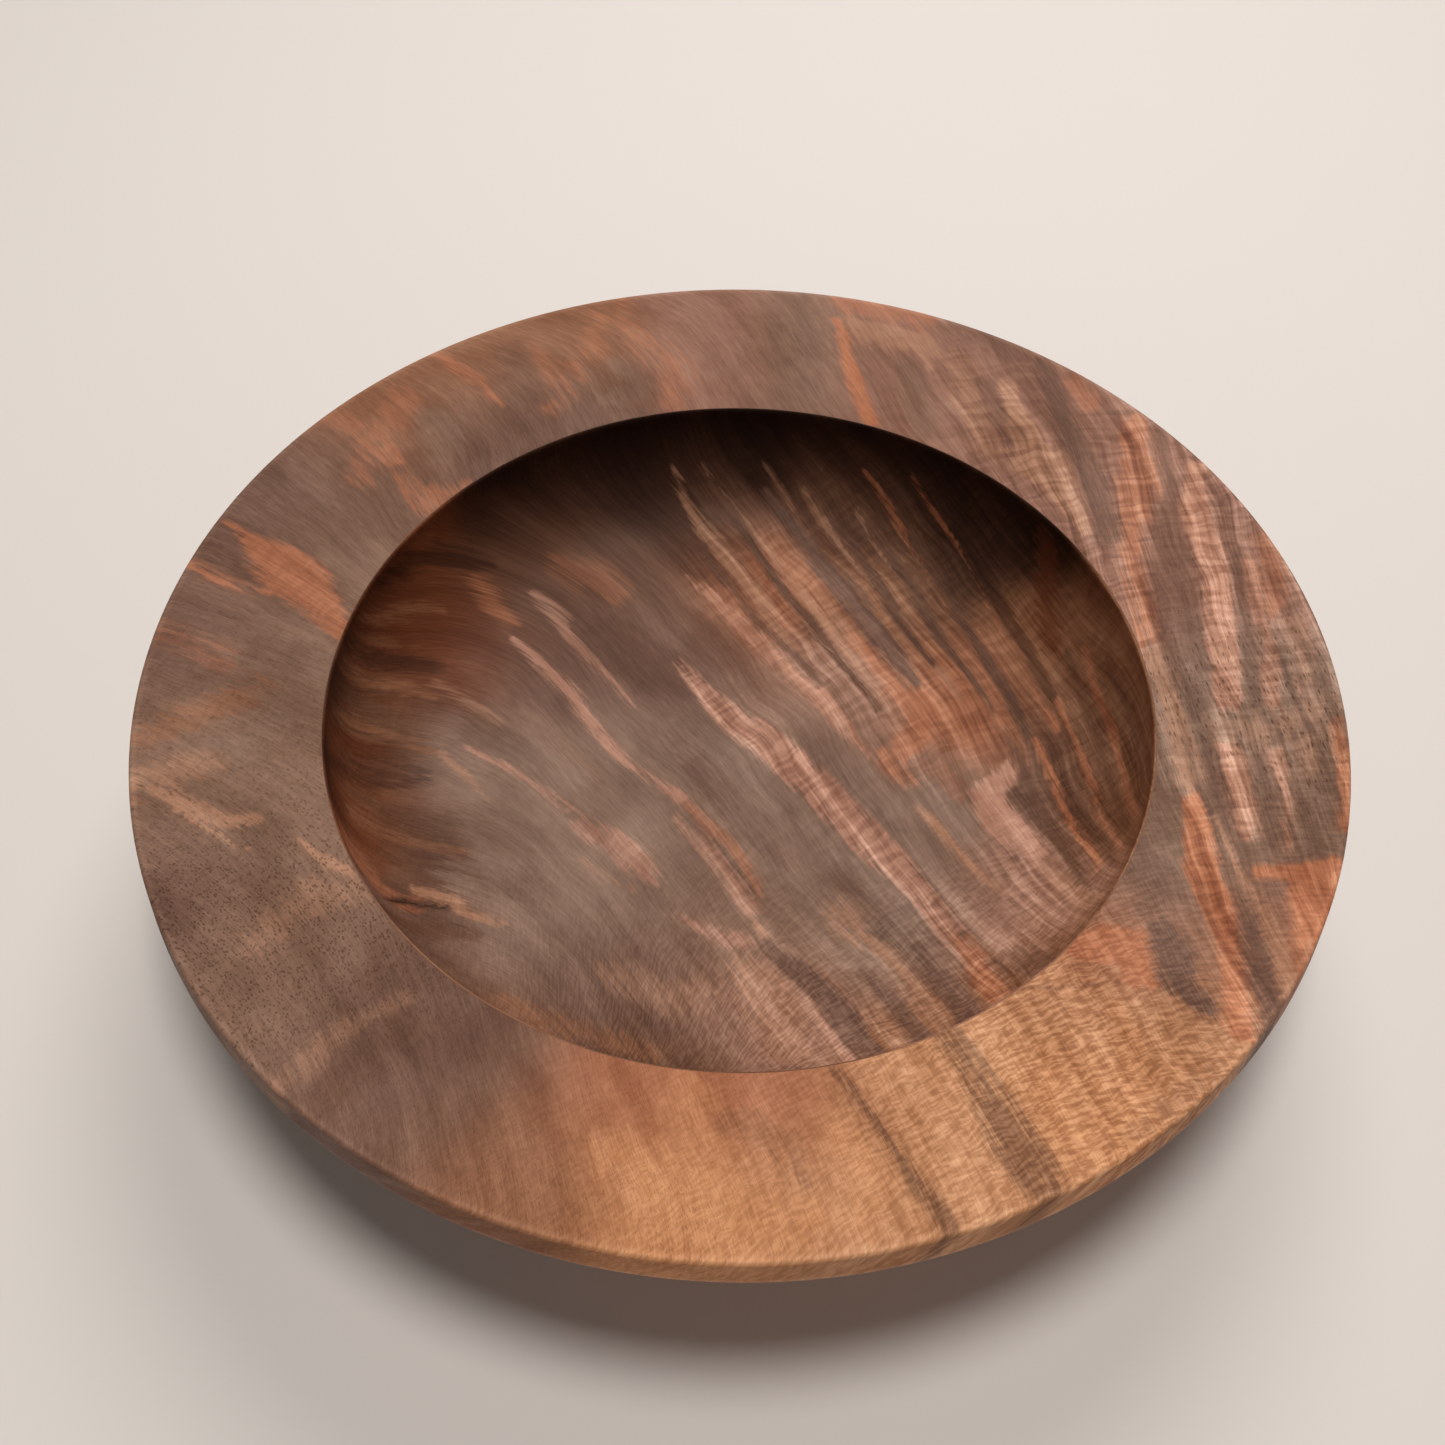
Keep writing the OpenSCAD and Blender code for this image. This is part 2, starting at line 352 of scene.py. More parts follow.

# Streaks and patches: tint, strength, curl, softness of the edge, then x, y and width along it.
# A "shade" is painted shade: it darkens what is under it by its strength instead of covering it.
RIM_FIGURE = [
    # Left, back: an orange blaze between dark wood, and a thin streak beside it
    ("umber", 0.55, 0, 4, (-96, 26, 4), (-90, 22, 5), (-85, 17, 3)),
    ("amber", 0.62, 0.25, 2.6, (-93, 32, 1), (-88, 29, 4), (-84, 26, 8), (-80, 23, 11),
     (-76, 19, 9), (-72, 14, 5), (-69, 10, 3)),
    ("amber", 0.62, 0, 1.8, (-98, 21, 1.5), (-92, 19, 2.2), (-87, 17.5, 1.4), (-83, 17, 0.7)),
    ("umber", 0.4, 0, 5, (-99, 14, 4), (-88, 13, 5), (-78, 11, 3)),
    ("copper", 0.35, 0, 6, (-99, 6, 4), (-92, 4, 4), (-87, 2, 4)),
    ("plum", 0.4, 0, 5, (-82, 3, 4), (-75, 2, 5)),
    # Left, front: pored, with faint diagonal bands and two bright boundaries
    ("cinnamon", 0.6, 0, 5, (-96, -16, 5), (-88, -8, 6), (-81, -3, 4)),
    ("ash", 0.45, 0, 6, (-90, -20, 5), (-82, -14, 6), (-78, -10, 3)),
    ("sand", 0.45, 0, 5, (-96, -28, 4), (-91, -23, 6), (-86, -20, 4)),
    ("sand", 0.6, 0.1, 2.5, (-93, -27, 2), (-87, -28.5, 3), (-81, -30, 3), (-77, -29, 1.5)),
    ("sand", 0.65, 0, 1, (-89, -30, 0.7), (-83, -32.5, 1), (-76, -35, 0.7)),
    ("sand", 0.7, 0.1, 1.6, (-70, -33, 1), (-66, -36, 2), (-61, -39, 3), (-57, -42, 2)),
    ("plum", 0.3, 0, 4, (-90, -34, 3), (-82, -38, 4), (-74, -38, 3)),
    ("sand", 0.3, 0, 5, (-72, -52, 5), (-66, -44, 6), (-60, -42, 4)),
    ("sand", 0.3, 0, 4, (-63, -76, 3), (-57, -68, 4), (-49, -60, 3)),
    ("umber", 0.35, 0, 5, (-58, -81, 5), (-50, -69, 6), (-44, -62, 4)),
    ("taupe", 0.35, 0, 6, (-46, -86, 4), (-38, -75, 4), (-32, -66, 4)),
    # Front: warm and golden, with two dark stripes
    ("honey", 0.55, 0, 7, (-16, -84, 7), (-8, -90, 9), (2, -94, 9), (10, -93, 5)),
    ("honey", 0.4, 0, 6, (-8, -74, 5), (-4, -82, 5)),
    ("cinnamon", 0.45, 0, 5, (0, -79, 4), (6, -82, 4), (9, -87, 3)),
    ("honey", 0.45, 0, 5, (14, -82, 5), (17, -88, 6), (16, -95, 4)),
    ("gold", 0.7, 0.1, 1.8, (10, -64, 1), (13, -71, 2.6), (17, -78, 3), (20, -84, 1.5)),
    ("umber", 0.52, 0.1, 2.6, (13, -70, 0.8), (17, -76, 1.5), (21, -83, 2.2), (25, -91, 2.4),
     (28, -98, 3)),
    ("umber", 0.52, 0.2, 4.2, (29, -60, 3), (31, -66, 4), (34, -73, 5), (37, -81, 6),
     (40, -88, 5), (42, -94, 3)),
    ("honey", 0.4, 0.2, 3, (43, -68, 3), (43, -76, 4), (46, -84, 4)),
    ("honey", 0.35, 0.2, 3, (55, -62, 4), (55, -70, 4), (54, -78, 4)),
    ("cinnamon", 0.55, 0, 1, (38, -57.5, 0.6), (50, -57.5, 0.9), (61, -56.5, 0.6)),
    ("sand", 0.4, 0, 5, (54, -82, 2), (60, -78, 3), (66, -73, 2)),
    # Front right: an orange patch with a straight edge, and dark wood beyond it
    ("plum", 0.5, 0.1, 3, (60, -30, 5), (63, -36, 7), (66, -41, 6), (62, -44.5, 2)),
    ("amber", 0.7, 0.1, 1.8, (50, -49.5, 4), (55, -50.5, 7), (59, -51, 7), (60, -56, 6)),
    ("plum", 0.8, 0.1, 2.2, (64, -48, 4), (65, -53, 6), (65, -58, 5), (68, -63, 4)),
    ("amber", 0.75, 0.7, 2, (74, -23, 4), (73, -30, 5.5), (72, -38, 5), (72.5, -48, 4),
     (73, -58, 4), (72, -66, 6)),
    ("plum", 0.75, 0.1, 2, (77.5, -42, 2.5), (76.8, -50, 4), (76.5, -60, 4.5), (75, -69, 4)),
    ("copper", 0.6, 0.4, 4, (86, -52, 4), (82, -60, 4)),
    # Right: bands that run front to back, with curl across them
    ("plum", 0.27, 0.2, 4, (90, -24, 4), (89, -32, 4), (87, -38, 3)),
    ("plum", 0.36, 0.2, 2.5, (83, -18, 3), (82.5, -30, 3.5), (81.5, -42, 3), (82, -50, 3)),
    ("plum", 0.42, 0.2, 2.2, (80.5, 58, 3), (80, 44, 3), (79, 34, 5), (78, 22, 7),
     (77.5, 10, 6), (77, 0, 5), (77, -14, 5), (77.5, -26, 4), (77, -36, 2.5)),
    ("amber", 0.5, 0.9, 3, (76, 60, 4), (75, 50, 7), (73.5, 40, 6), (72, 30, 3.5),
     (71.5, 18, 3), (72, 5, 3)),
    ("sand", 0.54, 0.5, 2.5, (72.5, 8, 3), (73, 0, 3), (73.5, -10, 3.5), (73.5, -20, 4)),
    ("peach", 0.61, 1, 1.8, (85.5, 48, 4), (84, 40, 5), (85, 30, 5.5), (86, 22, 6),
     (84.5, 12, 5.5), (83, 0, 5), (81.5, -10, 4), (80.5, -20, 4), (79.8, -32, 2.6)),
    ("plum", 0.39, 0.3, 2, (89.5, 27, 2.5), (89, 12, 3), (87.5, 0, 3), (86, -12, 3),
     (84.5, -24, 2.5)),
    ("peach", 0.5, 0.8, 1.8, (92, 24, 3), (91, 8, 2.6), (90, 0, 2.6), (88.5, -12, 2.6),
     (86.5, -25, 2), (85, -35, 1.6)),
    ("amber", 0.41, 0.6, 3, (95, 30, 4), (94.5, 20, 3), (94, 12, 3)),
    ("sand", 0.36, 0.6, 3, (96, 10, 4), (95, 0, 3), (94, -10, 3), (92, -20, 3)),
    ("sand", 0.32, 0.4, 5, (80, -9, 3), (88, -12, 4), (97, -8, 3)),
    ("amber", 0.59, 0.6, 2, (98.5, -12, 2), (97, -22, 3), (94.5, -32, 3)),
    ("sand", 0.72, 0.2, 1.2, (75.3, -28, 0.8), (77, -38, 1.2), (78.5, -46, 1.5),
     (79.7, -54, 2.4), (79.5, -61, 3)),
    ("amber", 0.77, 0.5, 1.6, (80, -39.5, 2), (86, -40, 4), (91, -39.5, 4), (87, -44, 7),
     (85, -49, 5), (83, -53, 2)),
    # Right, back
    ("plum", 0.7, 0.1, 3, (61, 78, 4), (63.5, 64, 4.5), (65.5, 52, 5), (67, 44, 5),
     (68.3, 34, 3.5)),
    ("sand", 0.65, 0.8, 3, (53, 72, 4), (54, 64, 6), (56, 57, 9), (59, 51, 8), (62, 43, 4),
     (64, 36, 2)),
    ("sand", 0.5, 0.6, 4, (44, 82, 4), (46, 72, 6), (47, 64, 5), (50, 57, 5)),
    ("plum", 0.35, 0.1, 3, (50, 74, 2), (51, 64, 1.6)),
    ("amber", 0.45, 0.3, 4, (67, 72, 3), (69, 66, 3.5)),
    ("plum", 0.5, 0, 6, (44, 90, 4), (50, 85, 6), (56, 80, 4)),
    # Back
    ("sand", 0.55, 0.1, 5, (24, 90, 6), (31, 88, 9), (36, 86, 8), (38, 81, 4)),
    ("amber", 0.45, 0, 5, (21, 97, 4), (29, 95, 5), (37, 92, 5)),
    ("amber", 0.75, 0.1, 2.4, (20.5, 92, 2), (22, 84, 3), (24, 75, 3.2), (26.5, 67, 3.6)),
    ("taupe", 0.6, 0, 4, (34, 79, 5), (36, 72, 6), (37, 65, 5)),
    ("plum", 0.35, 0, 5, (12, 96, 5), (13, 88, 5), (15, 76, 4)),
    ("rose", 0.5, 0, 6, (1, 97, 4), (2, 90, 5), (4, 78, 5)),
    ("plum", 0.3, 0, 5, (8, 97, 3), (8, 88, 3)),
    ("amber", 0.35, 0, 7, (-15, 83, 4), (-12, 78, 6), (-13, 73, 4)),
    ("amber", 0.35, 0, 7, (-25, 96, 4), (-23, 90, 3), (-19, 84, 4)),
    ("amber", 0.35, 0, 7, (-29, 91, 3), (-29, 85, 4), (-32, 79, 3), (-33, 75, 3),
     (-37, 70, 4)),
    ("amber", 0.32, 0, 7, (-43, 81, 4), (-38, 77, 3), (-34, 73, 3)),
    ("taupe", 0.6, 0, 4, (-24, 80, 3), (-20, 75, 4), (-26, 71, 4)),
    ("plum", 0.4, 0, 5, (-46, 80, 6), (-42, 72, 5)),
    # Left, back, beyond the blaze
    ("amber", 0.5, 0, 4, (-61, 80, 2), (-56, 76, 3), (-52, 73, 3), (-48, 69, 1.6)),
    ("copper", 0.45, 0, 6, (-66, 67, 5), (-68, 60, 6), (-70, 52, 5), (-71, 46, 4)),
    ("amber", 0.45, 0, 4, (-67, 53, 4), (-65, 51, 3)),
    ("amber", 0.45, 0, 5, (-63, 47, 3), (-60, 43, 5), (-56, 45, 5), (-52, 48, 3)),
    ("copper", 0.4, 0, 5, (-78, 60, 4), (-74, 58, 3)),
    ("taupe", 0.6, 0, 6, (-58, 62, 8), (-56, 54, 6)),
]
WELL_FIGURE = [
    # Middle: long light streaks that run from the back left to the front right
    ("copper", 0.55, 0, 5, (-54, 41, 4), (-49, 37, 5), (-45, 33, 3)),
    ("buff", 0.52, 0.1, 2.8, (-41, 40, 2), (-36, 36, 3), (-32, 31, 3), (-28, 26, 3),
     (-24, 21, 2.4), (-20, 16, 1.2)),
    ("buff", 0.75, 0.1, 2.4, (-44, 29, 1), (-38, 23, 2.4), (-33, 18, 3), (-28, 11, 2.8),
     (-24, 6, 2.4), (-20, 2, 2), (-15, -2, 1.6), (-10, -6, 2.5), (-6, -10, 3.6)),
    ("amber", 0.4, 0.4, 3.4, (-8, -8, 3), (-4, -12, 4), (0, -17, 3.4), (2, -23, 3),
     (2.5, -29, 1.5)),
    ("buff", 0.6, 0.4, 2.4, (-11, -10, 1.4), (-7, -14, 2.2), (-3, -19, 3), (0, -25, 3.5),
     (2, -30, 1.6)),
    ("buff", 0.65, 0, 1.8, (-50, 3, 0.8), (-44, 1, 1.5), (-38, -3, 1.5), (-32, -8, 1.5),
     (-27, -12, 2)),
    ("buff", 0.6, 0.4, 4, (-29, -11, 2), (-25, -14, 4), (-21, -16, 5), (-18, -19, 5),
     (-15, -23, 2)),
    ("sand", 0.4, 0, 2, (-28, -19, 1), (-23, -23, 1.2), (-18, -26, 1)),
    ("sand", 0.5, 0, 2, (-55, 1, 1.4), (-50, -3, 1.5), (-45, -8, 0.8)),
    ("sand", 0.3, 0, 3, (-58, 16, 1.4), (-51, 14, 2), (-45, 10, 1)),
    ("taupe", 0.7, 0, 4, (-40, 12, 4), (-33, 6, 4), (-26, -1, 4)),
    ("plum", 0.35, 0.1, 4, (-30, 34, 3), (-25, 28, 3), (-20, 22, 3), (-15, 15, 3)),
    ("plum", 0.45, 0.1, 5, (-12, 8, 3), (-6, 0, 5), (0, -8, 6), (8, -14, 8), (16, -22, 8),
     (24, -30, 6)),
    ("plum", 0.22, 0.1, 5, (-4, 34, 6), (4, 24, 8), (12, 14, 8), (20, 6, 8), (27, -2, 8),
     (33, -10, 7), (40, -22, 7), (46, -34, 6)),
    ("buff", 0.85, 0.8, 2.4, (-12, 27, 1.5), (-4, 17, 4.5), (5, 9, 6.5), (15, -3, 7), (25, -16, 6.5),
     (32, -27, 5), (38, -38, 4.5)),
    ("amber", 0.52, 0.8, 2.6, (38, -37, 3), (40, -42, 4.5), (41.5, -48, 4.5), (43, -53, 4)),
    ("sand", 0.85, 0.1, 1.2, (33, -8, 0.8), (36.5, -12.5, 1.5), (39, -18, 1.5),
     (42, -23, 1.2), (46, -28, 0.7)),
    # Back right: a fan of curled bands
    ("sand", 0.6, 0.5, 2.5, (-14, 70, 1.5), (-8, 60, 3), (-1, 50, 4.5), (4, 41, 6),
     (8, 34, 4.5), (13, 26, 3)),
    ("sand", 0.5, 0.4, 2.2, (-8, 72, 1.2), (-1, 62, 2), (6, 52, 3), (12, 42, 4), (18, 34, 4),
     (22, 27, 3), (27, 18, 1.6)),
    ("peach", 0.65, 0.5, 2.2, (-10, 47, 1.2), (-4, 41, 2), (2, 34, 3.6), (8, 27, 4),
     (14, 20, 4), (20, 12, 3), (26, 4, 1.4)),
    ("amber", 0.5, 0.6, 3.4, (23, 38, 3), (26, 30, 5), (31, 21, 6), (35, 13, 6), (33, 6, 7),
     (29, 3, 5), (32, -2, 3)),
    ("copper", 0.32, 0.4, 4, (35, 1, 4), (40, -4, 4), (43, -8, 2)),
    ("sand", 0.5, 0.3, 1.6, (14, 66, 1.2), (20, 56, 2), (26, 47, 2.2), (31, 39, 2.2),
     (35, 31, 2.2), (39, 23, 2), (44, 13, 1.2)),
    ("sand", 0.45, 0.3, 1.6, (25, 60, 1.2), (31, 50, 2), (36, 40, 2), (41, 30, 2.2),
     (45, 20, 2), (49, 9, 1.4)),
    ("copper", 0.7, 0.3, 1.6, (28, 68, 1.2), (38, 48, 1.8), (43, 36, 2), (48, 25, 2),
     (52, 14, 1.6), (55, 4, 1.2)),
    ("copper", 0.66, 0.3, 1.6, (38, 66, 1.2), (48, 44, 2), (53, 31, 2), (57, 18, 2),
     (60, 6, 1.4)),
    ("sand", 0.35, 0.3, 1.6, (6, 72, 1), (12, 61, 1.6), (18, 50, 2), (23, 41, 1.6)),
    ("umber", 0.78, 0.2, 1.6, (-6, 68, 1.4), (1, 58, 2.2), (7, 48, 2.2), (13, 38, 2.2),
     (20, 27, 2.2), (27, 15, 1.6)),
    ("umber", 0.65, 0.2, 1.6, (-8, 54, 1.4), (-2, 45, 2.2), (4, 36, 1.9), (10, 29, 1.9),
     (16, 21, 1.6)),
    ("plum", 0.85, 0.2, 2.4, (6, 66, 2.2), (14, 55, 3.4), (20, 46, 4.7), (25, 38, 4.7),
     (30, 29, 4.1), (34, 21, 2.7)),
    ("umber", 0.85, 0.2, 1.4, (18, 64, 1.6), (28, 45, 2.4), (33, 35, 2.2), (38, 25, 1.9)),
    ("umber", 0.85, 0.2, 1.4, (26, 63, 1.6), (34, 45, 2.4), (39, 34, 2.2), (44, 23, 2),
     (48, 13, 1.6)),
    ("umber", 0.78, 0.2, 1.6, (36, 56, 1.9), (41, 43, 2.4), (46, 31, 2.7), (50, 20, 2.7),
     (54, 8, 2.2), (56, -4, 1.9)),
    ("soot", 0.52, 0.2, 1.8, (46, 54, 2.2), (51, 40, 2.7), (56, 26, 2.7), (60, 12, 2.2)),
    # Right: a tan patch, then narrow bands that run up the wall
    ("buff", 0.85, 0.3, 2.4, (51, 1, 2), (48, -4, 5), (46, -8, 7), (48, -13, 6.5),
     (52, -19, 4.5), (54, -25, 3)),
    ("umber", 0.7, 0.2, 1.6, (50, 8, 1.4), (53, -4, 2), (55.5, -14, 2.4), (58.5, -25, 2.4),
     (61, -34, 2)),
    ("amber", 0.65, 0.4, 1.4, (56, 5, 1), (58, -6, 1.4), (60.5, -17, 1.6), (63.5, -29, 1.6)),
    ("umber", 0.6, 0.2, 1.4, (60, 4, 1), (62, -8, 1.4), (64.5, -20, 1.4), (66.5, -30, 1.2)),
    ("copper", 0.6, 0.4, 1.4, (61, 12, 1), (63.5, -3, 1.5), (66, -17, 1.5), (68.5, -29, 1.2)),
    ("umber", 0.6, 0.2, 1.6, (64, 24, 1.4), (66, 6, 1.8), (68, -10, 1.8), (70.5, -24, 1.6)),
    ("copper", 0.5, 0.4, 1.6, (68, 20, 1.6), (70, 2, 2), (72, -14, 2), (74, -28, 2)),
    ("umber", 0.5, 0.2, 2, (73, 16, 1.8), (75, 0, 2), (76, -14, 2)),
    ("russet", 0.7, 0.2, 4, (66, 46, 5), (63, 34, 6), (62, 24, 4)),
    ("sand", 0.55, 0.4, 2.2, (54, -24, 2), (57, -31, 3), (60, -36, 3), (64, -38, 2)),
    # Front: streaks fanning towards the near wall
    ("sand", 0.5, 0.1, 5, (17, -29, 4), (19, -32, 6), (21, -36, 3)),
    ("buff", 0.55, 0.4, 2.6, (-12, -30, 1.2), (-5, -33, 2.4), (2, -37, 3.4), (8, -42, 4.4),
     (13, -49, 4.4), (17, -56, 4), (20, -64, 4)),
    ("sand", 0.5, 0.3, 6, (2, -42, 6), (6, -50, 9), (8, -58, 6)),
    ("sand", 0.7, 0.3, 1.6, (3, -33, 1.2), (7, -38, 2.2), (12, -42, 2.2), (17, -47, 1.8),
     (21, -53, 2), (26, -60, 2.4)),
    ("sand", 0.6, 0.3, 2.4, (20, -35, 2), (25, -39, 3.4), (29, -45, 2.4), (31.5, -51, 2.2),
     (34, -58, 2.4)),
    ("plum", 0.8, 0.1, 2.4, (5, -37, 2), (11, -43, 3.6), (16, -50, 4.5), (20, -58, 4), (24, -66, 3)),
    ("plum", 0.7, 0.1, 2.4, (21, -43, 2), (25, -48, 3.6), (28, -54, 4), (31, -62, 4)),
    ("plum", 0.75, 0.1, 2.4, (31, -38, 2), (34, -44, 5), (36.5, -51, 5), (39, -60, 4)),
    ("umber", 0.6, 0.1, 5, (46, -42, 5), (50, -47, 6), (54, -50, 4)),
    ("cinnamon", 0.55, 0.1, 5, (-40, -52, 4), (-28, -56, 5), (-14, -60, 4)),
    ("sand", 0.3, 0.1, 6, (-20, -44, 6), (-12, -48, 6), (-6, -46, 5)),
    # Left: the dark, red wall, with streaks that run in from it
    ("russet", 0.7, 0, 9, (-66, 44, 10), (-72, 26, 16), (-73, 8, 17)),
    ("russet", 0.7, 0, 9, (-73, 8, 17), (-73, -10, 17), (-68, -28, 12)),
    # Painted sheen: a pale grey patch for the soft reflection on the left of the floor
    ("ash", 0.55, 0, 8, (-48, -26, 9), (-40, -22, 9)),
    ("umber", 0.6, 0, 3, (-62, -44, 4), (-56, -41, 5), (-49, -38, 4), (-44, -38, 2)),
    ("copper", 0.55, 0.2, 3.4, (-76, -28, 3), (-70, -32, 5), (-64, -35, 5), (-58, -36, 4.5),
     (-55, -34, 2)),
    ("sand", 0.7, 0.2, 1.8, (-56, -31, 1.4), (-50, -31, 3), (-46, -33.5, 3), (-40, -35, 1.6)),
    ("soot", 0.7, 0, 1, (-62, -39, 0.6), (-58, -35.5, 1), (-54, -34, 1), (-50, -33, 0.7)),
    ("cinnamon", 0.45, 0, 3, (-70, -21, 2), (-62, -20, 2.5), (-55, -19.5, 2.5), (-49, -20, 1.6)),
    ("soot", 0.45, 0, 4, (-82, -16, 4), (-74, -12, 5), (-65, -8, 5), (-58, -5, 3)),
    ("umber", 0.5, 0, 3, (-72, -16, 2), (-64, -15.5, 3), (-55, -15, 2)),
    ("cinnamon", 0.45, 0, 3, (-80, -3, 2), (-72, 0, 3), (-64, 2, 3), (-57, 1, 2)),
    ("umber", 0.6, 0, 3, (-80, 3, 2), (-71, 5, 3), (-62, 5, 3)),
    ("cinnamon", 0.45, 0, 2.6, (-80, 8, 2), (-72, 10, 2.4), (-64, 13, 3), (-58, 13, 2)),
    ("soot", 0.5, 0, 3, (-82, 13, 2), (-74, 15, 3), (-65, 18, 4), (-58, 20, 3)),
    ("cinnamon", 0.5, 0, 2, (-80, 20, 1.4), (-72, 25, 2), (-64, 30, 2), (-58, 32, 1.4)),
    ("cinnamon", 0.4, 0, 1.6, (-82, 15, 1), (-74, 19, 1.4), (-67, 21, 1.2)),
    ("soot", 0.55, 0, 3, (-76, 32, 2), (-66, 40, 4), (-58, 43, 4), (-50, 44, 2)),
    ("copper", 0.35, 0, 7, (-36, 48, 5), (-29, 45, 7), (-24, 42, 4)),
    # Painted shade: the far and left walls darken towards the mouth
    ("shade", 0.74, 0, 24, (-58, 60, 8), (-36, 74, 14), (-8, 82, 22), (22, 81, 22), (46, 69, 18),
     (64, 52, 10), (76, 32, 4)),
    ("shade", 0.66, 0, 14, (-78, 38, 8), (-82, 18, 10), (-84, -4, 10), (-80, -24, 8)),
]

# Which way the grain runs: x, y, degrees. It fans from level at the left to upright at the right.
RIM_GRAIN = [
    (-92, 16, -14), (-80, 22, -34), (-96, -10, -12), (-75, 2, -14), (-84, -32, -24),
    (-66, -44, -34), (-80, -56, -36), (-60, -72, -46), (-36, -76, -56), (-12, -84, -62),
    (10, -78, -62), (30, -82, -66), (48, -76, -76), (62, -60, -84), (74, -45, -92),
    (90, -36, -97), (78, -24, -92), (94, -16, -95), (76, -4, -90), (90, 4, -94),
    (76, 18, -92), (92, 24, -94), (80, 38, -92), (84, 52, -92), (66, 58, -86),
    (48, 70, -80), (26, 84, -76), (0, 84, -68), (-26, 80, -58),
    (-54, 70, -48), (-72, 54, -42), (-84, 40, -34),
]
WELL_GRAIN = [
    (-80, 24, -4), (-76, -6, -4), (-72, -30, -10), (-62, 46, -34), (-40, 62, -48),
    (-16, 74, -58), (14, 78, -64), (42, 68, -70), (66, 44, -80), (78, 0, -88),
    (68, -36, -84), (44, -66, -70), (6, -76, -56), (-36, -64, -38), (-62, -48, -22),
]


def smooth_step(value, low, high):
    t = np.clip((value - low) / (high - low), 0.0, 1.0)
    return t * t * (3 - 2 * t)


def wobbled(xy):
    """The plan's points, moved a little by sums of waves, so that no drawn edge is straight."""
    rng = np.random.default_rng(7)
    moved = xy.copy()
    for length, size in WOBBLES:
        for _ in range(3):
            heading, phase, push = rng.uniform(0, 2 * math.pi, 3)
            travelled = xy @ [math.cos(heading), math.sin(heading)]
            wave = np.sin(travelled * 2 * math.pi / length + phase)
            moved += wave[:, None] * size * np.array([math.cos(push), math.sin(push)])
    return moved


def smooth_path(path):
    """A smooth curve through a streak's points, each with its width."""
    p = np.array(path, float)
    p = np.vstack([2 * p[0] - p[1], p, 2 * p[-1] - p[-2]])
    steps = 4
    made = []
    for a, b, c, d in zip(p, p[1:], p[2:], p[3:]):
        for t in np.arange(steps) / steps:
            straight = 2 * b + (c - a) * t
            bend = (2 * a - 5 * b + 4 * c - d) * t ** 2
            twist = (3 * b - a - 3 * c + d) * t ** 3
            made.append(0.5 * (straight + bend + twist))
    made.append(p[-2])
    made = np.array(made)
    made[:, 2] = np.maximum(made[:, 2], LEAST_WIDTH)
    return made


def cover_of(xy, path, soft):
    """How far each point lies inside a streak: 0.5 on its edge, 1 and 0 well in and out."""
    best = np.zeros(len(xy))
    for a, b in zip(path, path[1:]):
        reach = max(a[2], b[2]) / 2 + soft
        low = np.minimum(a[:2], b[:2]) - reach
        high = np.maximum(a[:2], b[:2]) + reach
        near = np.where(((xy > low) & (xy < high)).all(1))[0]
        if not len(near):
            continue
        run = b[:2] - a[:2]
        from_a = xy[near] - a[:2]
        t = np.clip(from_a @ run / max(float(run @ run), 1e-9), 0.0, 1.0)
        gap = np.linalg.norm(from_a - t[:, None] * run, axis=1)
        width = a[2] + (b[2] - a[2]) * t
        best[near] = np.maximum(best[near], 0.5 + (width / 2 - gap) / soft)
    return np.clip(best, 0.0, 1.0)


def lay_ground(xy, ground):
    """The ground's colour, curl, pebble, pores and roundness, blended between its anchors."""
    places = np.array([g[:2] for g in ground], float)
    values = np.array([(*TINTS[g[2]], *g[3:]) for g in ground], float)
    gap = ((xy[:, None] - places[None]) ** 2).sum(2)
    # A faint share from every anchor settles the places that lie far from all of them.
    weight = np.exp(-gap / (2 * GROUND_BLEND ** 2)) + 1e-3 / (1 + gap / 400)
    return weight @ values / weight.sum(1, keepdims=True)


def lay_figure(xy, ground, figure):
    """The figure's columns at the plan's points, in the order of FIGURE_COLUMNS."""
    moved = wobbled(xy)
    base = lay_ground(moved, ground)
    streak = base[:, :3].copy()
    strength = np.zeros(len(xy))
    cover = np.zeros(len(xy))
    curl = base[:, 3].copy()
    for tint, power, ripple, soft, *path in figure:
        here = cover_of(moved, smooth_path(path), soft * STREAK_SOFTNESS)
        # Painted shade: a "shade" dims the ground and streak colours under it.
        if tint == "shade":
            dim = (1 - power * smooth_step(here, 0.0, 1.0))[:, None] ** SHADE_DEPTH
            base[:, :3] *= dim
            streak *= dim
            continue
        # The colour starts outside the edge, so that the material's feathering finds it there.
        shown = smooth_step(here, 0.1, 0.45)
        streak += (np.array(TINTS[tint]) - streak) * shown[:, None]
        strength += (min(1.0, power * STREAK_POWER) - strength) * shown
        curl += (max(ripple, LEAST_CURL) - curl) * smooth_step(here, 0.3, 0.7)
        cover = np.maximum(cover * (1 - shown), here)
    return np.column_stack([base[:, :3], streak, cover, strength, curl, base[:, 4:]])


def headings(anchors, figure=()):
    """Places and fibre directions: the anchors' own, and those along the longer streaks."""
    places = [a[:2] for a in anchors]
    along = [(math.cos(math.radians(a[2])), math.sin(math.radians(a[2]))) for a in anchors]
    for tint, _, _, _, *path in figure:
        if len(path) < 4 or tint == "shade":
            continue
        p = np.array(path, float)[:, :2]
        for a, b in zip(p[:-2], p[2:]):
            heading = unit(b - a)
            places.append((a + b) / 2)
            along.append(heading * (1 if heading[0] > heading[1] else -1))
    return np.array(places, float), np.array(along, float)


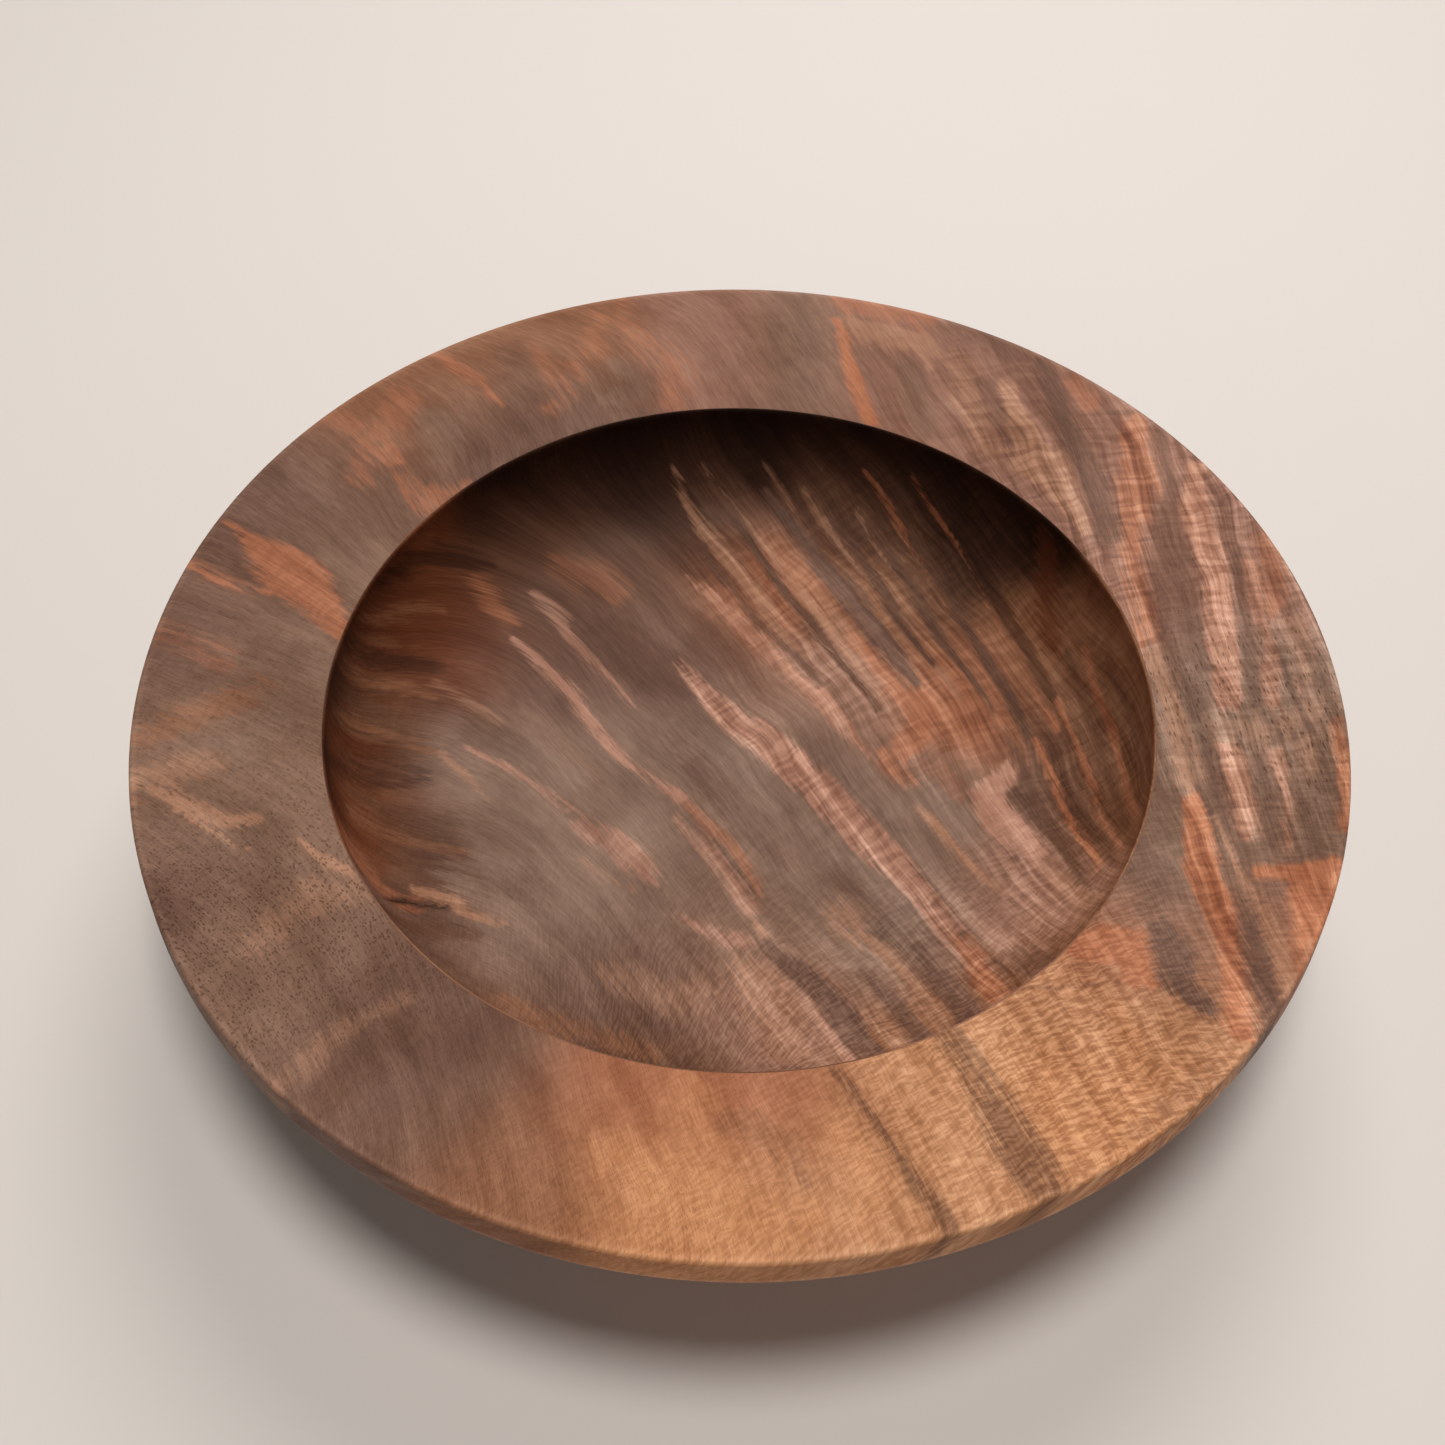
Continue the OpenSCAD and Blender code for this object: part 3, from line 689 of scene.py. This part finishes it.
def grain_flow(xy, places, along):
    """Two smooth coordinates, across and along the grain, that follow the directions given.

    Each is a sum of round bumps on a grid and a plain slope, fitted to the directions.
    """
    across = np.stack([-along[:, 1], along[:, 0]], 1)
    grid = np.arange(-FLOW_GRID * 4, FLOW_GRID * 4 + 1, FLOW_GRID)
    centres = np.array([(x, y) for x in grid for y in grid], float)
    centres = centres[np.hypot(*centres.T) < FLOW_REACH]
    spread = FLOW_SPREAD

    def bumps(points):
        gap = points[:, None] - centres[None]
        return gap, np.exp(-(gap ** 2).sum(2) / (2 * spread ** 2))

    gap, bump = bumps(places)
    slopes = [
        np.column_stack([-gap[:, :, i] / spread ** 2 * bump * spread,
                         np.full(len(places), 1.0 - i), np.full(len(places), float(i))])
        for i in (0, 1)
    ]
    system = np.vstack(slopes)
    damping = np.eye(system.shape[1]) * FLOW_DAMPING
    damping[-2:, -2:] = 0.0
    values = np.column_stack([bumps(xy)[1] * spread, xy])
    flows = []
    for target in (across, along):
        wanted = np.concatenate([target[:, 0], target[:, 1]])
        weights = np.linalg.solve(system.T @ system + damping, system.T @ wanted)
        flows.append(values @ weights)
    return np.stack(flows, 1)


def plan_of(points, names):
    """Where each vertex of the turned mesh lies on the plan, its surface and its height."""
    radii = np.repeat(plan_radius(points, names)[1:-1], SPOKES)
    turns = np.tile(np.arange(SPOKES) * (2 * math.pi / SPOKES), len(points) - 2)
    xy = np.stack([radii * np.cos(turns), radii * np.sin(turns)], 1)
    xy = np.vstack([xy, np.zeros((2, 2))])
    kinds = np.append(np.repeat(names[1:-1], SPOKES), [names[0], names[-1]])
    heights = np.append(np.repeat(points[1:-1, 1], SPOKES), points[[0, -1], 1])
    return xy, kinds, heights


def figure_on(points, names):
    """The figure's columns, the grain's coordinates and the arrises, at every vertex."""
    xy, kinds, heights = plan_of(points, names)
    in_well = np.isin(kinds, ["well", "mouth"])
    below = ~in_well & (kinds != "rim")
    depth = np.where(below, RIM_H - heights, 0.0)
    leaned = xy + depth[:, None] * FIGURE_LEAN

    # Under the rim the wood is the rim's, and under the well it is the well's.
    well_share = np.where(below, 1 - smooth_step(np.hypot(*xy.T), *WELL_TO_RIM), in_well * 1.0)
    columns = np.zeros((len(xy), len(FIGURE_COLUMNS)))
    for share, ground, figure in ((1 - well_share, RIM_GROUND, RIM_FIGURE),
                                  (well_share, WELL_GROUND, WELL_FIGURE)):
        used = share > 0
        columns[used] += lay_figure(leaned[used], ground, figure) * share[used, None]

    flow = np.zeros((len(xy), 3))
    flow[in_well, :2] = grain_flow(xy[in_well], *headings(WELL_GRAIN, WELL_FIGURE))
    flow[~in_well, :2] = grain_flow(xy[~in_well], *headings(RIM_GRAIN)) + RIM_PATTERN_SHIFT
    flow[:, 0] += depth * LAYERS_DOWN
    arris = np.isin(kinds, ["arris", "mouth"]) * 1.0
    return columns, flow, arris


def paint(mesh, columns, flow, arris):
    """Stores the figure on the mesh's vertices, under the names that the material reads."""
    def colour(name, rgb):
        layer = mesh.color_attributes.new(name, "FLOAT_COLOR", "POINT")
        layer.data.foreach_set("color", np.column_stack([rgb, np.ones(len(rgb))]).ravel())

    def number(name, values):
        layer = mesh.attributes.new(name, "FLOAT", "POINT")
        layer.data.foreach_set("value", values)

    colour("ground", columns[:, :3])
    colour("streak", columns[:, 3:6])
    for i, name in enumerate(FIGURE_COLUMNS[6:], start=6):
        number(name, columns[:, i])
    number("arris", arris)
    layer = mesh.attributes.new("grain", "FLOAT_VECTOR", "POINT")
    layer.data.foreach_set("vector", flow.ravel())


def build_bowl():
    points, names = section()
    vertices = turn(points, SPOKES)
    mesh = bpy.data.meshes.new("walnut_bowl")
    mesh.from_pydata(fit_to_frame(vertices).tolist(), [], faces_of(len(points) - 2, SPOKES))
    mesh.shade_smooth()
    paint(mesh, *figure_on(points, names))
    mesh.materials.append(walnut_material())
    bowl = bpy.data.objects.new("walnut_bowl", mesh)
    bpy.context.collection.objects.link(bowl)
    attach(bowl, "root")
    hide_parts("bowl")


# --- The walnut's material -----------------------------------------------------------------

PORE_COLOUR = (0.030, 0.013, 0.008, 1.0)
PORE_INK = 0.60
SHEEN = 0.13


class Graph:
    """Adds nodes to a material and wires them up."""

    def __init__(self, name):
        self.material = bpy.data.materials.new(name)
        self.material.use_nodes = True
        self.tree = self.material.node_tree
        self.shader = self.tree.nodes["Principled BSDF"]

    def feed(self, socket, value):
        if isinstance(value, bpy.types.NodeSocket):
            self.tree.links.new(value, socket)
        else:
            socket.default_value = value

    def maths(self, operation, a, b, clamp=False):
        node = self.tree.nodes.new("ShaderNodeMath")
        node.operation = operation
        node.use_clamp = clamp
        self.feed(node.inputs[0], a)
        self.feed(node.inputs[1], b)
        return node.outputs[0]

    def add(self, a, b):
        return self.maths("ADD", a, b)

    def less(self, a, b):
        return self.maths("SUBTRACT", a, b)

    def times(self, a, b, clamp=False):
        return self.maths("MULTIPLY", a, b, clamp)

    def attribute(self, name, kind="Fac"):
        node = self.tree.nodes.new("ShaderNodeAttribute")
        node.attribute_name = name
        return node.outputs[kind]

    def stretched(self, vector, x, y):
        """The grain's coordinates times x and y, so that a pattern has x and y cells a mm."""
        node = self.tree.nodes.new("ShaderNodeVectorMath")
        node.operation = "MULTIPLY"
        self.feed(node.inputs[0], vector)
        node.inputs[1].default_value = (x, y, 1.0)
        return node.outputs[0]

    def pushed(self, vector, push, amount):
        """The vector moved by a noise colour, to bend whatever pattern reads it."""
        centred = self.tree.nodes.new("ShaderNodeVectorMath")
        centred.operation = "SUBTRACT"
        self.feed(centred.inputs[0], push)
        centred.inputs[1].default_value = (0.5, 0.5, 0.5)
        moved = self.tree.nodes.new("ShaderNodeVectorMath")
        moved.operation = "MULTIPLY_ADD"
        self.feed(moved.inputs[0], centred.outputs[0])
        moved.inputs[1].default_value = (amount, amount, 0.0)
        self.feed(moved.inputs[2], vector)
        return moved.outputs[0]

    def noise(self, vector, scale=1.0, detail=2.0, output="Fac"):
        node = self.tree.nodes.new("ShaderNodeTexNoise")
        node.noise_dimensions = "2D"
        self.feed(node.inputs["Vector"], vector)
        node.inputs["Scale"].default_value = scale
        node.inputs["Detail"].default_value = detail
        return node.outputs[output]

    def bands(self, vector, detail):
        """Noise stretched to run from 0 to 1."""
        return self.ramp(self.noise(vector, detail=detail), 0.34, 0.66)

    def cells(self, vector):
        """The distance from the nearest of many scattered points, one to each unit square."""
        node = self.tree.nodes.new("ShaderNodeTexVoronoi")
        node.voronoi_dimensions = "2D"
        self.feed(node.inputs["Vector"], vector)
        node.inputs["Scale"].default_value = 1.0
        return node.outputs["Distance"]

    def swing(self, value, amount):
        """A 0 to 1 value, turned into a swing round 0 of the given size."""
        return self.times(self.less(value, 0.5), amount)

    def ramp(self, value, low, high, out_low=0.0, out_high=1.0):
        node = self.tree.nodes.new("ShaderNodeMapRange")
        node.interpolation_type = "SMOOTHSTEP"
        for name, v in (("Value", value), ("From Min", low), ("From Max", high),
                        ("To Min", out_low), ("To Max", out_high)):
            self.feed(node.inputs[name], v)
        return node.outputs["Result"]

    def mix(self, factor, a, b):
        node = self.tree.nodes.new("ShaderNodeMix")
        node.data_type = "RGBA"
        self.feed(node.inputs["Factor"], factor)
        # A colour mix keeps its two colours in the seventh and eighth sockets.
        self.feed(node.inputs[6], a)
        self.feed(node.inputs[7], b)
        return node.outputs[2]

    def raised(self, colour, power):
        node = self.tree.nodes.new("ShaderNodeGamma")
        self.feed(node.inputs["Color"], colour)
        self.feed(node.inputs["Gamma"], power)
        return node.outputs["Color"]

    def shaded(self, colour, amount):
        """The colour times a number."""
        node = self.tree.nodes.new("ShaderNodeVectorMath")
        node.operation = "SCALE"
        self.feed(node.inputs[0], colour)
        self.feed(node.inputs["Scale"], amount)
        return node.outputs[0]


def streaked_colour(g, grain):
    """Ground and streaks, parted by a feathered edge that follows the fibres."""
    long_fibres = g.bands(g.stretched(grain, 0.8, 0.07), detail=4.0)
    short_fibres = g.bands(g.stretched(grain, 2.6, 0.35), detail=2.0)
    feather = g.add(g.swing(long_fibres, 0.50), g.swing(short_fibres, 0.25))
    inside = g.ramp(g.add(g.attribute("cover"), feather), 0.15, 0.85)
    amount = g.times(inside, g.attribute("strength"), clamp=True)
    return g.mix(amount, g.attribute("ground", "Color"), g.attribute("streak", "Color"))


def pore_mask(g, grain):
    """Open pores: long dashes along the grain, and round dots where it comes to the surface."""
    bend = g.noise(grain, scale=0.4, detail=1.0, output="Color")
    dashes = g.cells(g.pushed(g.stretched(grain, 1.4, 0.36), bend, 0.6))
    dots = g.cells(g.pushed(g.stretched(grain, 2.3, 1.1), bend, 1.2))
    long_pores = g.ramp(dashes, 0.10, 0.26, 1.0, 0.0)
    round_pores = g.ramp(dots, 0.12, 0.38, 1.0, 0.0)
    roundness = g.attribute("roundness")
    both = g.add(g.times(round_pores, roundness), g.times(long_pores, g.less(1.0, roundness)))
    patchy = g.ramp(g.noise(grain, scale=0.7, detail=3.0), 0.36, 0.60)
    share = g.times(g.attribute("pores"), patchy)
    return g.times(both, share, clamp=True)


def wood_patterns(g, grain):
    """The wood's patterns of light and dark, each from 0 to 1, by name."""
    bent = g.pushed(grain, g.noise(grain, scale=0.06, detail=1.0, output="Color"), 3.5)
    ripple_bend = g.noise(grain, scale=0.20, output="Color")
    curl_grain = g.pushed(grain, ripple_bend, 2.5)
    pebble_grain = g.pushed(grain, ripple_bend, 1.5)
    return {
        "broad": g.bands(g.stretched(bent, 0.16, 0.010), detail=2.0),
        "lines": g.bands(g.stretched(bent, 0.42, 0.016), detail=2.0),
        "fine_lines": g.bands(g.stretched(bent, 1.6, 0.05), detail=2.0),
        "fibres": g.bands(g.stretched(grain, 5.0, 0.35), detail=2.0),
        "mottle": g.bands(g.stretched(grain, 0.09, 0.06), detail=4.0),
        "curl": g.bands(g.stretched(curl_grain, 0.12, 0.66), detail=1.0),
        "pebble": g.bands(g.stretched(pebble_grain, 0.36, 1.7), detail=2.0),
    }


def darkness(g, patterns, curled, pebbled, arris):
    """How much darker than its tint the wood is, below 0 where it is lighter.

    Each pattern has a least amount, and a share that grows with the curl or the pebble.
    """
    dark = g.swing(patterns["broad"], 0.09)
    for name, least, share, feature in (
        ("lines", 0.03, 0.46, curled),
        ("fine_lines", 0.07, 0.14, curled),
        ("fibres", 0.10, 0.0, curled),
        ("mottle", 0.13, 0.0, curled),
        ("curl", 0.0, 0.27, curled),
        ("pebble", 0.0, 0.36, pebbled),
    ):
        amount = g.add(least, g.times(feature, share))
        dark = g.add(dark, g.swing(patterns[name], amount))
    # Painted highlight: the rounded edges are made lighter than their wood.
    return g.less(dark, g.times(arris, 0.12))


def relief(g, patterns, pores, curled, pebbled):
    """A bump normal: pores sink in, and fibres, curl and pebble stand up, in millimetres."""
    height = g.times(pores, -0.05)
    height = g.add(height, g.times(patterns["fibres"], 0.010))
    height = g.add(height, g.times(g.times(patterns["curl"], curled), 0.03))
    height = g.add(height, g.times(g.times(patterns["pebble"], pebbled), 0.02))
    bump = g.tree.nodes.new("ShaderNodeBump")
    bump.inputs["Strength"].default_value = 1.0
    bump.inputs["Distance"].default_value = MM
    g.feed(bump.inputs["Height"], height)
    return bump.outputs["Normal"]


def walnut_material():
    g = Graph("walnut")
    grain = g.attribute("grain", "Vector")
    curled, pebbled, arris = (g.attribute(name) for name in ("curl", "pebble", "arris"))
    patterns = wood_patterns(g, grain)
    pores = pore_mask(g, grain)
    dark = darkness(g, patterns, curled, pebbled, arris)

    # Darker wood is also redder, which raising the colour to a power gives.
    colour = g.raised(streaked_colour(g, grain), g.add(1.0, g.times(dark, 0.55)))
    colour = g.shaded(colour, g.less(1.0, g.times(dark, 0.9)))
    colour = g.mix(g.times(pores, PORE_INK), colour, PORE_COLOUR)
    g.feed(g.shader.inputs["Base Color"], colour)

    rough = g.ramp(patterns["mottle"], 0.0, 1.0, 0.50, 0.60)
    rough = g.add(rough, g.times(pores, 0.25))
    rough = g.less(rough, g.times(arris, 0.08))
    g.feed(g.shader.inputs["Roughness"], rough)
    g.shader.inputs["Specular IOR Level"].default_value = SHEEN
    g.feed(g.shader.inputs["Normal"], relief(g, patterns, pores, curled, pebbled))
    return g.material


# --- Stage, light and camera ---------------------------------------------------------------

FLOOR_COLOUR = (0.72, 0.682, 0.652)
FLOOR_GLOW = 0.36
# The floor is a hair under the foot, so that the two surfaces don't coincide.
FLOOR_DROP = 0.1 * MM
LIGHT_COLOUR = (1.0, 0.96, 0.92)


def floor_material():
    """Pale and plain. It gives off a little light where the mesh's glow value is high."""
    g = Graph("pale_floor")
    g.shader.inputs["Base Color"].default_value = (*FLOOR_COLOUR, 1.0)
    g.shader.inputs["Roughness"].default_value = 0.75
    g.shader.inputs["Emission Color"].default_value = (*FLOOR_COLOUR, 1.0)
    g.feed(g.shader.inputs["Emission Strength"], g.times(g.attribute("glow"), FLOOR_GLOW))
    return g.material


def build_stage():
    """A round floor that turns up into a wall all the way round, far from the bowl."""
    radius, bend, wall = 1.6, 0.9, 1.4
    count, spokes = 16, 96
    flat = [(r, 0.0) for r in (0.0, 0.4, 0.6, 0.8, 1.0, 1.2, 1.4)]
    turns = [math.pi / 2 * i / count for i in range(count + 1)]
    curve = [(radius + bend * math.sin(t), bend * (1 - math.cos(t))) for t in turns]
    outline = np.array(flat + curve + [(radius + bend, wall)])

    # turn() and faces_of() close both ends, and the wall's top is open, so the vertex and
    # the faces that would close it are left out.
    vertices = turn(np.vstack([outline, outline[-1]]), spokes)[:-1]
    faces = faces_of(len(outline) - 1, spokes)
    inward = [f[::-1] for f in faces if max(f) < len(vertices)]
    mesh = bpy.data.meshes.new("studio_floor")
    mesh.from_pydata(vertices.tolist(), [], inward)
    glow = smooth_step(np.hypot(vertices[:, 0], vertices[:, 1]), 0.35, 1.4)
    mesh.attributes.new("glow", "FLOAT", "POINT").data.foreach_set("value", glow)
    mesh.validate()
    mesh.shade_smooth()
    mesh.materials.append(floor_material())
    floor = bpy.data.objects.new("studio_floor", mesh)
    floor.location.z = -FLOOR_DROP
    bpy.context.collection.objects.link(floor)


def soft_light(name, place, size, power):
    """A round softbox that faces the bowl and isn't seen itself."""
    data = bpy.data.lights.new(name, "AREA")
    data.shape = "DISK"
    data.size = size
    data.energy = power
    data.color = LIGHT_COLOUR
    lamp = bpy.data.objects.new(name, data)
    lamp.location = place
    lamp.rotation_euler = (-Vector(place)).to_track_quat("-Z", "Y").to_euler()
    lamp.visible_camera = False
    bpy.context.collection.objects.link(lamp)


def light_studio():
    world = bpy.data.worlds.new("studio")
    bpy.context.scene.world = world
    world.use_nodes = True
    sky = world.node_tree.nodes["Background"]
    sky.inputs["Color"].default_value = (1.0, 0.95, 0.90, 1.0)
    sky.inputs["Strength"].default_value = 0.04
    soft_light("key_softbox", (0.03, -0.03, 1.0), size=0.30, power=5.8)
    soft_light("back_softbox", (0.14, 0.70, 0.85), size=0.60, power=6.0)


def place_camera():
    """The camera looks down at 53 degrees, just above and in front of the bowl."""
    pitch, roll = math.radians(53.127), math.radians(0.309)
    forward, above_rim, aside = 0.1598, 0.1957, 0.0028
    data = bpy.data.cameras.new("camera")
    data.sensor_width = 36.0
    data.lens = 37.37
    data.clip_start = 0.01
    data.dof.use_dof = False
    camera = bpy.data.objects.new("camera", data)
    rim_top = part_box("bowl")[1].z
    camera.location = (-aside, -forward, rim_top + above_rim)
    camera.rotation_euler = (math.pi / 2 - pitch, 0.0, 0.0)
    camera.rotation_euler.rotate_axis("Z", roll)
    bpy.context.collection.objects.link(camera)
    bpy.context.scene.camera = camera


build_bowl()
build_stage()
light_studio()
place_camera()
bpy.context.scene.view_settings.view_transform = "Standard"
